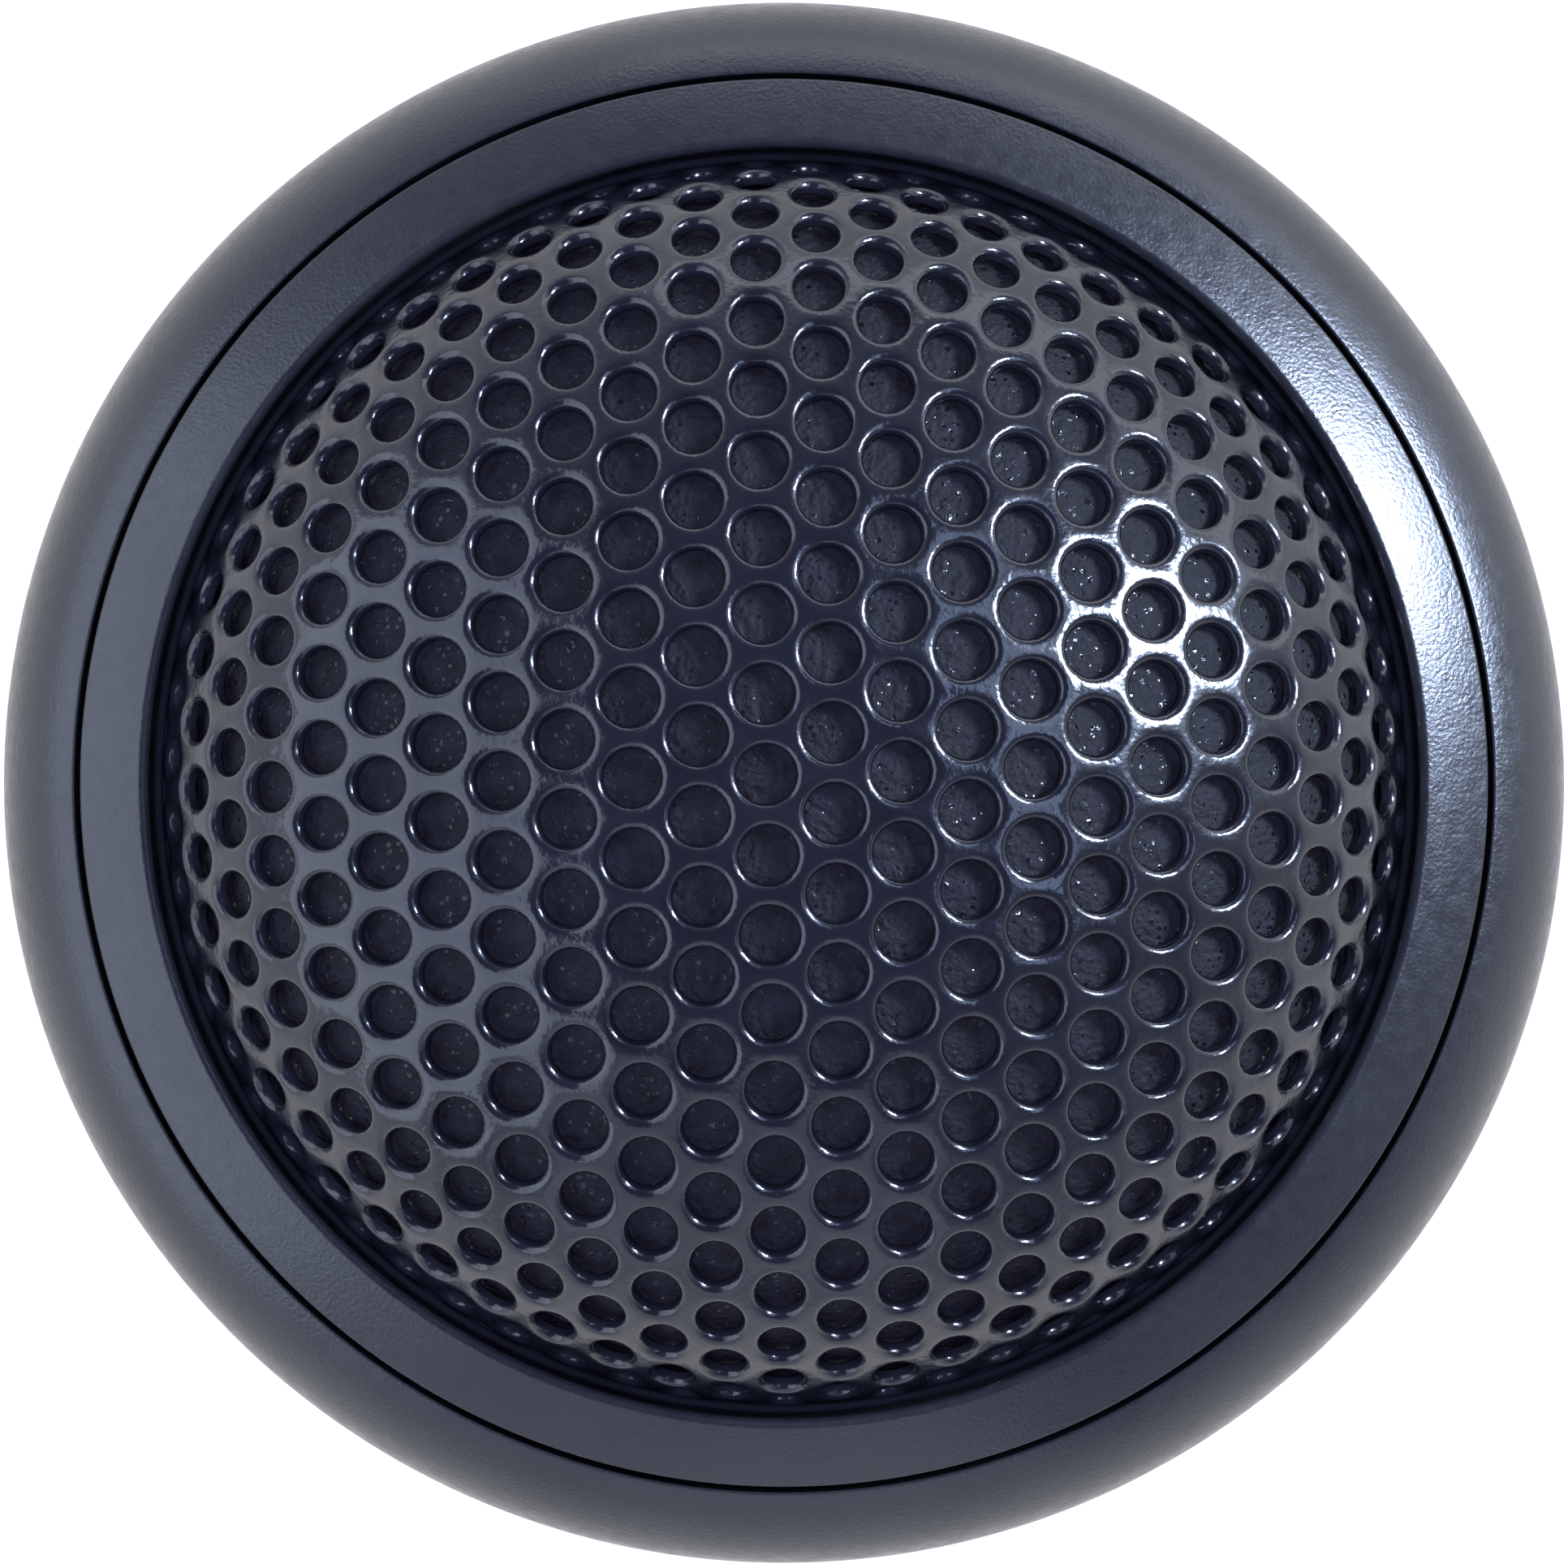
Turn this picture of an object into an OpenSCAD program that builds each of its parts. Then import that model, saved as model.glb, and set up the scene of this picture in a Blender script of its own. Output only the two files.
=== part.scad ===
// Flush-mount car tweeter: a soft-dome driver behind a domed perforated grille, in a cup that is
// clamped in a round panel hole by a lock nut.
// +Z is the listening direction. The origin is on the axis, in the plane of the flange's back.

/* [Flange and barrel] */
// Outer diameter of the flange
flange_d = 50; // [49:0.5:52]
// Straight edge of the flange above the panel
flange_edge = 0.6; // [0.4:0.1:1]
// Radius of the flange's rounded shoulder
shoulder_r = 5; // [4.8:0.1:5.2]
// Diameter of the plain spigot that centres the cup in the panel hole
spigot_d = 45; // [44.8:0.1:45.2]
// Length of the plain spigot
spigot_l = 2; // [1.5:0.1:2.5]
// Outer diameter of the threaded barrel
thread_d = 43.6; // [43.2:0.1:43.6]
// Depth of the barrel behind the panel face
barrel_l = 21; // [21:0.5:26]
// Bore of the cup
bore_d = 40.6; // [40.5:0.1:40.7]

/* [Lock nut] */
// Gap between flange and clamp washer, as for a panel of that thickness
panel_t = 3; // [2.5:0.5:6]
// Thickness of the clamp washer
washer_t = 1.2; // [0.8:0.1:1.6]
// Height of the lock nut
nut_h = 5; // [4:0.5:6]
// Outer diameter of lock nut and washer
nut_d = 49; // [48:0.5:49.5]
// Number of finger grips round the nut
nut_grips = 24; // [12:2:36]

/* [Trim ring and grille] */
// Radius of the seam between flange and trim ring
seam_r = 22.34; // [22.2:0.02:22.4]
// Width of the seam
seam_gap = 0.18; // [0.1:0.02:0.24]
// Inner radius of the trim ring
trim_ri = 20.05; // [20:0.05:20.1]
// Slope of the trim ring's face, in degrees
trim_slope = 28; // [26:1:30]
// Outer radius of the grille's dome at its rim
dome_r = 19.8; // [19.7:0.05:19.85]
// Radius of curvature of the dome's crown
crown_r = 27; // [25:0.5:29]
// Radius of curvature of the dome's rim
knuckle_r = 11.75; // [11:0.25:12.5]
// Thickness of the grille's sheet
sheet_t = 0.5; // [0.4:0.05:0.5]
// Distance between neighbouring holes in a column
hole_pitch = 2.49; // [2.45:0.01:3]
// Distance between neighbouring columns of holes
column_pitch = 2.09; // [2.06:0.01:2.6]
// Diameter of the holes at the crown
hole_d = 1.85; // [1.2:0.05:1.9]
// Thickness of the foam under the grille
foam_t = 1.6; // [1:0.1:1.6]

/* [Driver] */
// Radius of the diaphragm's dome
diaphragm_r = 12.9; // [12.8:0.05:12.9]
// Rise of the diaphragm's dome
diaphragm_h = 4.6; // [3.5:0.1:5]
// Outer diameter of the pole cup
pole_cup_d = 32.2; // [31.8:0.1:32.2]
// Thickness of the magnet
magnet_t = 4; // [3:0.25:4.5]
// Thickness of the pole plate
pole_plate_t = 2.6; // [2.2:0.1:2.8]

/* [Hidden] */
$fn = 96;
cut = 1;            // how far a cutting tool runs past the wall it cuts

// Cup
flange_r = flange_d / 2;
spigot_r = spigot_d / 2;
thread_r = thread_d / 2;
bore_r = bore_d / 2;
barrel_z = -barrel_l;
ledge_z = 1.4;                  // seat of the chassis flange
shoulder_c = flange_r - shoulder_r;
seam_a = acos((seam_r - shoulder_c) / shoulder_r);
seam_z = flange_edge + shoulder_r * sin(seam_a);
gasket_ri = 23;
gasket_ro = 24.3;
gasket_t = 0.5;
key_w = 3;
key_depth = 0.6;
snap_t = 0.8;
snap_groove_r = bore_r + 0.45;

// Lock nut and washer
washer_z = -panel_t - washer_t;
washer_ri = spigot_r + 0.15;
nut_z = washer_z - nut_h;
nut_ri = thread_r + 0.1;
nut_r = nut_d / 2;

// Grille: crown and knuckle are two arcs that meet at blend_a from the axis
chassis_flange_t = 0.8;
seat_z = ledge_z + chassis_flange_t;
rim_z = seat_z + 1;             // height at which the dome's wall stands upright
blend_a = asin((dome_r - knuckle_r) / (crown_r - knuckle_r));
knuckle_c = dome_r - knuckle_r;
crown_c = rim_z - (crown_r - knuckle_r) * cos(blend_a);
blend_s = crown_r * blend_a * PI / 180;
lattice_turn = 1.35;            // lean of the hole columns, in degrees
lattice_shift = [-0.54, 0.265]; // the hole nearest the crown, measured from the axis
last_hole_a = 85;               // holes end at this slope
grille_flange_r = 21.6;
trim_ro = seam_r - seam_gap;
trim_round = 0.5;

// Chassis and motor, from the diaphragm's seat down
chassis_r = bore_r - 0.2;
chassis_ri = 18.9;
web_z = 0.4;
web_t = 1;
web_ri = 13.6;
ring_t = 0.6;
ring_ri = 15;
ring_ro = chassis_ri - 0.1;
step_r = 15.9;                  // the surround's lip lies in a step of this radius
skin_t = 0.2;                   // thickness of dome, surround and their lips
skin_z = web_z + ring_t - skin_t;
clamp_ri = 15.4;
pole_cup_r = pole_cup_d / 2;
pole_cup_z1 = web_z - web_t;
pole_top_z = pole_cup_z1 - 0.2;
magnet_top_z = pole_top_z - pole_plate_t;
magnet_z = magnet_top_z - magnet_t;
pole_floor_t = 2.2;
pole_cup_z0 = magnet_z - pole_floor_t;
gap_ro = 13.2;
pole_r = 12.2;
magnet_r = 11.8;
former_ri = 12.5;
former_ro = 12.62;
coil_ro = 12.92;
coil_h = 2.2;
felt_r = 9;
felt_t = 0.8;
screw_c = 17.45;                // radius on which both rings of screws stand
screw_r = 0.8;
screw_head_r = 1.35;
screw_head_t = 0.7;
boss_r = 1.6;
front_screw_a = [30, 150, 270];
rear_screw_a = [90, 210, 330];
front_boss_l = 4;
cover_t = 1.6;
wiring_gap = 1.6;               // room for the leads between pole cup and rear cover
cover_z1 = pole_cup_z0 - wiring_gap;
cover_z0 = cover_z1 - cover_t;
chassis_z = cover_z0 - 0.3;
snap_z = chassis_z - 0.1 - snap_t;

// Terminals
board = [24, 8, 1.2];
board_y = -5;
board_z = cover_z0 - board.z;
blade_x = 8;
blade_t = 0.5;
blade_l = 6.3;
wide_blade = 4.8;
slim_blade = 2.8;
foot_l = 3.6;
rivet_r = 0.8;
rivet_head_r = 1.3;
rivet_head_t = 0.3;
rivet_y = board_y + 2;
rivet_clear = 0.03;
wire_r = 0.45;
wire_z = cover_z1 + rivet_head_t + wire_r + 0.03;
tag_w = 2.4;
tag_t = 0.3;

// Capacitor: it lies on the cover with both leads at its +X end
cap_r = 3.2;
cap_l = 11;
cap_y = 6.5;
cap_z = cover_z0 - cap_r - 0.1;
cap_lead_r = 0.3;
cap_lead_y = 1.25;              // each lead's distance from the capacitor's axis
cap_bend_x = cap_l / 2 + 2.5;

function arc(cx, cz, r, a0, a1, n) =
    [for (i = [0 : n]) let (a = a0 + (a1 - a0) * i / n) [cx + r * cos(a), cz + r * sin(a)]];

module revolve(points) {
    rotate_extrude() polygon(points);
}

module tube(ri, ro, z0, z1) {
    difference() {
        translate([0, 0, z0]) cylinder(h = z1 - z0, r = ro);
        translate([0, 0, z0 - cut]) cylinder(h = z1 - z0 + 2 * cut, r = ri);
    }
}

module disc(r, z0, z1) {
    translate([0, 0, z0]) cylinder(h = z1 - z0, r = r);
}

module around(angles, radius) {
    for (a = angles) rotate([0, 0, a]) translate([radius, 0, 0]) children();
}

// A round wire through the given points, with ball joints at the bends
module wire(points, r) {
    union() {
        for (i = [0 : len(points) - 2]) {
            d = points[i + 1] - points[i];
            l = norm(d);
            translate(points[i]) rotate([0, acos(d.z / l), atan2(d.y, d.x)]) cylinder(h = l, r = r);
        }
        for (i = [1 : len(points) - 2]) translate(points[i]) sphere(r = r);
    }
}

// ---- Cup and panel clamp ----

module flush_cup() {
    color([0.16, 0.17, 0.19]) difference() {
        revolve(concat(
            [[bore_r, barrel_z], [thread_r - 0.4, barrel_z], [thread_r, barrel_z + 0.4],
             [thread_r, -spigot_l - 0.2], [spigot_r, -spigot_l], [spigot_r, 0],
             [gasket_ri, 0], [gasket_ri, gasket_t], [gasket_ro, gasket_t], [gasket_ro, 0],
             [flange_r - 0.15, 0], [flange_r, 0.15]],
            arc(shoulder_c, flange_edge, shoulder_r, 0, seam_a, 12),
            [[seam_r, ledge_z], [bore_r, ledge_z]]
        ));
        // groove of the snap ring
        tube(bore_r - cut, snap_groove_r, snap_z, snap_z + snap_t);
        // keyways of the clamp washer
        for (a = [0, 180]) {
            rotate([0, 0, a]) translate([thread_r - key_depth, -key_w / 2, barrel_z - cut])
                cube([2, key_w, barrel_l + cut]);
        }
    }
}

module panel_gasket() {
    color([0.10, 0.10, 0.10]) tube(gasket_ri + 0.05, gasket_ro - 0.05, 0, gasket_t);
}

module clamp_washer() {
    color([0.55, 0.56, 0.58]) union() {
        tube(washer_ri, nut_r, washer_z, washer_z + washer_t);
        // keys that run in the barrel's keyways
        for (a = [0, 180]) {
            rotate([0, 0, a]) translate([thread_r - key_depth + 0.1, -key_w / 2 + 0.15, washer_z])
                cube([washer_ri - thread_r + key_depth + 0.4, key_w - 0.3, washer_t]);
        }
    }
}

module lock_nut() {
    color([0.12, 0.12, 0.13]) difference() {
        revolve([[nut_ri, nut_z], [nut_r - 0.6, nut_z], [nut_r, nut_z + 0.6],
                 [nut_r, nut_z + nut_h - 0.02], [nut_ri, nut_z + nut_h - 0.02]]);
        // finger grips
        for (i = [0 : nut_grips - 1]) {
            rotate([0, 0, 360 * i / nut_grips]) translate([nut_r + 0.5, 0, nut_z - cut])
                cylinder(h = nut_h - 0.2, r = 1.3);
        }
    }
}

// ---- Trim ring, grille and foam ----

module trim_ring() {
    face_z = seam_z + seam_gap * tan(trim_slope);
    lip_r = trim_ri + trim_round * (1 - sin(trim_slope));
    lip_z = face_z + (trim_ro - lip_r) * tan(trim_slope);
    round_z = lip_z - trim_round * cos(trim_slope);
    color([0.16, 0.17, 0.19]) revolve(concat(
        [[trim_ri, seat_z + sheet_t], [grille_flange_r + 0.05, seat_z + sheet_t],
         [grille_flange_r + 0.05, seat_z], [trim_ro, seat_z], [trim_ro, face_z - 0.1],
         [trim_ro - 0.1, face_z + 0.07]],
        arc(trim_ri + trim_round, round_z, trim_round, 90 - trim_slope, 180, 6)
    ));
}

// Filled half section of the dome, with its surface moved inwards by depth. The arcs are short
// straight steps, within 0.011 mm of the curve.
module dome_section(depth, z0) {
    crown = crown_r - depth;
    knuckle = knuckle_r - depth;
    polygon(concat(
        [[0, z0], [dome_r - depth, z0]],
        [for (i = [0 : 12]) let (a = 90 - (90 - blend_a) * i / 12)
            [knuckle_c + knuckle * sin(a), rim_z + knuckle * cos(a)]],
        [for (i = [1 : 10]) let (a = blend_a * (1 - i / 10)) [crown * sin(a), crown_c + crown * cos(a)]]
    ));
}

// Slope of the dome at a distance from the crown along its surface, in degrees
function slope_at(s) = s < blend_s ? s / crown_r * 180 / PI : blend_a + (s - blend_s) / knuckle_r * 180 / PI;

function dome_point(a, turn) =
    let (r = a < blend_a ? crown_r * sin(a) : knuckle_c + knuckle_r * sin(a),
         z = a < blend_a ? crown_c + crown_r * cos(a) : rim_z + knuckle_r * cos(a))
    [r * cos(turn), r * sin(turn), z];

// The sheet is perforated flat and then drawn, so each hole keeps its distance from the crown
module grille_holes() {
    last_s = blend_s + knuckle_r * (last_hole_a - blend_a) * PI / 180;
    n = ceil(last_s / column_pitch) + 1;
    for (i = [-n : n], j = [-n : n]) {
        x = lattice_shift.x + i * column_pitch;
        y = lattice_shift.y + (j + (i % 2 == 0 ? 0 : 0.5)) * hole_pitch;
        s = norm([x, y]);
        if (s < last_s) {
            a = slope_at(s);
            turn = atan2(y, x) + lattice_turn;
            radius = hole_d / 2 * (1 - 0.22 * pow(s / last_s, 2));
            translate(dome_point(a, turn)) rotate([0, a, turn])
                cylinder(h = 3 * sheet_t, r = radius, center = true);
        }
    }
}

module grille() {
    color([0.17, 0.18, 0.21]) difference() {
        rotate_extrude() union() {
            difference() {
                dome_section(0, seat_z);
                dome_section(sheet_t, seat_z - cut);
            }
            translate([dome_r - sheet_t, seat_z]) square([grille_flange_r - dome_r + sheet_t, sheet_t]);
        }
        grille_holes();
    }
}

module foam_liner() {
    depth = sheet_t + 0.1;
    color([0.05, 0.05, 0.06]) rotate_extrude() difference() {
        dome_section(depth, seat_z);
        dome_section(depth + foam_t, seat_z - cut);
    }
}

// ---- Chassis ----

module chassis() {
    color([0.10, 0.10, 0.11]) difference() {
        union() {
            revolve([[chassis_ri, chassis_z], [chassis_r, chassis_z], [chassis_r, ledge_z],
                     [trim_ro, ledge_z], [trim_ro, seat_z], [chassis_ri, seat_z],
                     [chassis_ri, web_z], [web_ri, web_z], [web_ri, web_z - web_t],
                     [chassis_ri, web_z - web_t]]);
            difference() {
                union() {
                    around(front_screw_a, screw_c)
                        disc(boss_r, pole_cup_z1 - front_boss_l, web_z - web_t / 2);
                    around(rear_screw_a, screw_c) disc(boss_r, cover_z1, web_z - web_t / 2);
                }
                disc(pole_cup_r + 0.1, cover_z1 - cut, pole_cup_z1);
                tube(chassis_r - 0.5, chassis_r + 3, cover_z1 - cut, web_z);
            }
        }
        around(front_screw_a, screw_c) disc(screw_r, pole_cup_z1 - front_boss_l - cut, web_z + cut);
        around(rear_screw_a, screw_c) disc(screw_r, cover_z1 - cut, cover_z1 + 5);
        // ways for the lead wires
        around([0, 180], screw_c) disc(wire_r + 0.2, web_z - web_t - cut, web_z + cut);
    }
}

module snap_ring() {
    gap = 5;
    color([0.62, 0.63, 0.65]) difference() {
        tube(chassis_ri + 0.5, snap_groove_r - 0.05, snap_z + 0.05, snap_z + snap_t);
        translate([0, -gap / 2, snap_z - cut]) cube([bore_r + cut, gap, snap_t + 2 * cut]);
    }
}

module rear_cover() {
    color([0.10, 0.10, 0.11]) difference() {
        disc(chassis_ri - 0.1, cover_z0, cover_z1);
        around(rear_screw_a, screw_c) disc(screw_r + 0.05, cover_z0 - cut, cover_z1 + cut);
        for (x = [-blade_x, blade_x]) {
            translate([x, rivet_y, 0]) disc(rivet_r + rivet_clear, cover_z0 - cut, cover_z1 + cut);
        }
        translate([cap_bend_x, cap_y + cap_lead_y, 0]) disc(cap_lead_r + 0.1, cover_z0 - cut, cover_z1 + cut);
    }
}

// Pan-head screw along +Z with a cross slot in its head, head below z = 0
module screw(length) {
    difference() {
        union() {
            disc(screw_r - 0.03, -0.1, length);
            revolve([[0, -screw_head_t], [screw_head_r - 0.35, -screw_head_t],
                     [screw_head_r, -screw_head_t + 0.35], [screw_head_r, 0], [0, 0]]);
        }
        for (a = [0, 90]) {
            rotate([0, 0, a]) translate([-0.75, -0.15, -screw_head_t - cut]) cube([1.5, 0.3, 0.4 + cut]);
        }
    }
}

module rear_screws() {
    color([0.70, 0.71, 0.73]) around(rear_screw_a, screw_c) translate([0, 0, cover_z0]) screw(5.6);
}

module front_screws() {
    z = seat_z - screw_head_t - 0.05;
    color([0.70, 0.71, 0.73]) around(front_screw_a, screw_c)
        translate([0, 0, z]) mirror([0, 0, 1]) screw(z - pole_cup_z1 + front_boss_l - 0.4);
}

// ---- Diaphragm and its rings ----

module clamp_ring() {
    color([0.10, 0.10, 0.11]) difference() {
        tube(clamp_ri, ring_ro, web_z + ring_t, seat_z);
        around(front_screw_a, screw_c) disc(screw_r + 0.05, web_z, seat_z + cut);
        around(front_screw_a, screw_c) disc(screw_head_r + 0.02, seat_z - screw_head_t - 0.05, seat_z + cut);
        // pockets over the lead tags
        around([0, 180], screw_c) translate([-3, -tag_w / 2 - 0.2, web_z + ring_t - cut])
            cube([5, tag_w + 0.4, cut + tag_t + 0.4]);
    }
}

module diaphragm_ring() {
    color([0.14, 0.13, 0.12]) difference() {
        revolve([[ring_ri, web_z], [ring_ro, web_z], [ring_ro, web_z + ring_t],
                 [step_r, web_z + ring_t], [step_r, skin_z], [ring_ri, skin_z]]);
        around(front_screw_a, screw_c) disc(screw_r + 0.05, web_z - cut, web_z + ring_t + cut);
        around([0, 180], screw_c) disc(wire_r + 0.2, web_z - cut, web_z + ring_t + cut);
    }
}

module surround() {
    roll_c = (diaphragm_r + 0.2 + ring_ri) / 2;
    roll_r = roll_c - diaphragm_r - 0.2 + skin_t / 2;
    color([0.07, 0.07, 0.08]) rotate_extrude() union() {
        translate([diaphragm_r, skin_z]) square([0.25, skin_t]);
        translate([ring_ri - 0.05, skin_z]) square([step_r - ring_ri, skin_t]);
        intersection() {
            translate([roll_c, skin_z]) difference() {
                circle(r = roll_r, $fn = 64);
                circle(r = roll_r - skin_t, $fn = 64);
            }
            translate([diaphragm_r, skin_z]) square([4, 4]);
        }
    }
}

module dome_diaphragm() {
    ball = (pow(diaphragm_r - 0.3, 2) + pow(diaphragm_h, 2)) / (2 * diaphragm_h);
    top = skin_z + skin_t + diaphragm_h;
    color([0.09, 0.09, 0.10]) rotate_extrude() union() {
        translate([former_ri - 0.1, skin_z]) square([diaphragm_r - former_ri + 0.1, skin_t]);
        intersection() {
            translate([0, top - ball]) difference() {
                circle(r = ball, $fn = 240);
                circle(r = ball - skin_t, $fn = 240);
            }
            translate([0, skin_z]) square([diaphragm_r - 0.05, 10]);
        }
    }
}

module voice_coil_former() {
    color([0.72, 0.55, 0.25]) tube(former_ri, former_ro, magnet_top_z + 0.1, skin_z);
}

module voice_coil() {
    z0 = magnet_top_z + (pole_plate_t - coil_h) / 2 + 0.1;
    color([0.72, 0.38, 0.20]) tube(former_ro, coil_ro, z0, z0 + coil_h);
}

// ---- Motor ----

module pole_plate() {
    color([0.62, 0.63, 0.65]) disc(pole_r, magnet_top_z, pole_top_z);
}

module magnet() {
    color([0.75, 0.76, 0.78]) disc(magnet_r, magnet_z, magnet_top_z);
}

module pole_cup() {
    color([0.62, 0.63, 0.65]) revolve([
        [0, pole_cup_z0], [pole_cup_r - 0.5, pole_cup_z0], [pole_cup_r, pole_cup_z0 + 0.5],
        [pole_cup_r, pole_cup_z1], [gap_ro, pole_cup_z1], [gap_ro, magnet_top_z],
        [gap_ro + 0.7, magnet_top_z - 0.7], [gap_ro + 0.7, magnet_z], [0, magnet_z]
    ]);
}

module damping_felt() {
    color([0.35, 0.35, 0.36]) disc(felt_r, pole_top_z, pole_top_z + felt_t);
}

// ---- Leads and terminals ----

module lead_tags() {
    color([0.80, 0.65, 0.30]) around([0, 180], screw_c) difference() {
        translate([-1.3, -tag_w / 2, web_z + ring_t]) cube([2.6, tag_w, tag_t]);
        disc(wire_r + 0.02, web_z, web_z + 2);
    }
}

// From a lead tag down beside the motor, then in behind it
module lead_wire(side, foot) {
    wire([[side * screw_c, 0, web_z + ring_t + tag_t + 0.1], [side * screw_c, 0, wire_z],
          [foot.x, foot.y, wire_z]], wire_r);
}

// Ends over the capacitor's inner lead
module lead_wire_positive() {
    color([0.65, 0.10, 0.08]) lead_wire(1, [cap_bend_x, cap_y + cap_lead_y]);
}

// Ends on the negative terminal's rivet
module lead_wire_negative() {
    color([0.08, 0.08, 0.08]) lead_wire(-1, [-blade_x, rivet_y]);
}

module terminal_board() {
    color([0.45, 0.30, 0.16]) difference() {
        translate([-board.x / 2, board_y - board.y / 2, board_z]) cube(board);
        for (x = [-blade_x, blade_x]) {
            translate([x, rivet_y, 0]) disc(rivet_r + rivet_clear, board_z - cut, cover_z0 + cut);
        }
    }
}

// Foot on the board and a blade that stands down from its edge
module terminal(width) {
    difference() {
        union() {
            translate([-width / 2, board_y - blade_t, board_z - blade_t])
                cube([width, foot_l + blade_t, blade_t]);
            translate([-width / 2, board_y - blade_t, board_z - blade_l]) cube([width, blade_t, blade_l]);
        }
        translate([0, rivet_y, 0]) disc(rivet_r + rivet_clear, board_z - cut, board_z + cut);
        translate([0, board_y - blade_t - cut, board_z - blade_l + 2]) rotate([-90, 0, 0])
            cylinder(h = blade_t + 2 * cut, r = 0.6);
    }
}

module terminal_positive() {
    color([0.78, 0.66, 0.36]) translate([blade_x, 0, 0]) terminal(wide_blade);
}

module terminal_negative() {
    color([0.78, 0.66, 0.36]) translate([-blade_x, 0, 0]) terminal(slim_blade);
}

module terminal_rivets() {
    color([0.78, 0.66, 0.36]) for (x = [-blade_x, blade_x]) {
        translate([x, rivet_y, 0]) union() {
            disc(rivet_r, board_z - blade_t - 0.1, cover_z1 + 0.1);
            disc(rivet_head_r, board_z - blade_t - rivet_head_t, board_z - blade_t);
            disc(rivet_head_r, cover_z1, cover_z1 + rivet_head_t);
        }
    }
}

module capacitor() {
    color([0.10, 0.16, 0.36]) translate([-cap_l / 2, cap_y, cap_z]) rotate([0, 90, 0]) difference() {
        cylinder(h = cap_l, r = cap_r);
        translate([0, 0, cap_l - 2.2]) difference() {
            cylinder(h = 0.6, r = cap_r + cut);
            translate([0, 0, -cut]) cylinder(h = 3, r = cap_r - 0.3);
        }
    }
}

// One lead runs to the positive terminal's rivet, the other through the cover to the coil's lead
module capacitor_leads() {
    outer_y = cap_y - cap_lead_y;
    inner_y = cap_y + cap_lead_y;
    rivet_z = board_z - blade_t - rivet_head_t - cap_lead_r;
    color([0.75, 0.75, 0.76]) {
        wire([[cap_l / 2, outer_y, cap_z], [cap_bend_x, outer_y, cap_z], [cap_bend_x, outer_y, rivet_z],
              [blade_x, rivet_y, rivet_z]], cap_lead_r);
        wire([[cap_l / 2, inner_y, cap_z], [cap_bend_x, inner_y, cap_z],
              [cap_bend_x, inner_y, wire_z - wire_r - 0.03]], cap_lead_r);
    }
}

flush_cup();
panel_gasket();
clamp_washer();
lock_nut();
trim_ring();
grille();
foam_liner();
chassis();
snap_ring();
clamp_ring();
front_screws();
diaphragm_ring();
surround();
dome_diaphragm();
voice_coil_former();
voice_coil();
pole_plate();
magnet();
pole_cup();
damping_felt();
lead_tags();
lead_wire_positive();
lead_wire_negative();
rear_cover();
rear_screws();
terminal_board();
terminal_positive();
terminal_negative();
terminal_rivets();
capacitor();
capacitor_leads();
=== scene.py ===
"""Looks of a flush-mount car tweeter: painted cup and trim ring, domed perforated grille, foam, driver."""
import math

import bmesh
import bpy
from mathutils import Matrix, Vector, noise

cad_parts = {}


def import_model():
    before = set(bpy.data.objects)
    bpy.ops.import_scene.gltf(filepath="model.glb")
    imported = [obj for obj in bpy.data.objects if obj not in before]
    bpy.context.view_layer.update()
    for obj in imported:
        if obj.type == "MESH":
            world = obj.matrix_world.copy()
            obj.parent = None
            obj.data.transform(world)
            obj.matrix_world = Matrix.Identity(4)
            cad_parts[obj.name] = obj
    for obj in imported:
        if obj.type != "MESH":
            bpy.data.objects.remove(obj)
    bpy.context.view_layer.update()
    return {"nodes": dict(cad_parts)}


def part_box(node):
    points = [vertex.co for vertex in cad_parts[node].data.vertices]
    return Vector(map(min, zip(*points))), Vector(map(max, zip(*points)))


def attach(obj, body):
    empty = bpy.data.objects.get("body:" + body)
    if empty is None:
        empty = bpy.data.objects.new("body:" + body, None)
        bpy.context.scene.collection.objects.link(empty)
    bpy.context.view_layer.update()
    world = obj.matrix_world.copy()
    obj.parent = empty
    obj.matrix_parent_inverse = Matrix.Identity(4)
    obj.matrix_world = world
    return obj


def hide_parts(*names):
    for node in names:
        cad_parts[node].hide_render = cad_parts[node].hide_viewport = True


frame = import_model()

MM = 0.001
STEPS = 256              # facets round the large rings
MERGE = 0.0005           # distance under which points of a finished shape are one
SHEET_MERGE = 0.004      # the same for the cells of the perforated sheet
SHARP_EDGE = 35          # degrees from which an edge is eased


def box_mm(node):
    """Lowest and highest corner of a CAD node, in millimetres."""
    low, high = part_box(node)
    return low / MM, high / MM


CUP_LOW, CUP_HIGH = box_mm("flush_cup")
TRIM_LOW = box_mm("trim_ring")[0]
GRILLE_LOW, GRILLE_HIGH = box_mm("grille")
NUT_LOW, NUT_HIGH = box_mm("lock_nut")
FOAM_LOW = box_mm("foam_liner")[0]
COIL_LOW, COIL_HIGH = box_mm("voice_coil")
CAN_LOW, CAN_HIGH = box_mm("capacitor")
BOARD_LOW = box_mm("terminal_board")[0]

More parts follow.
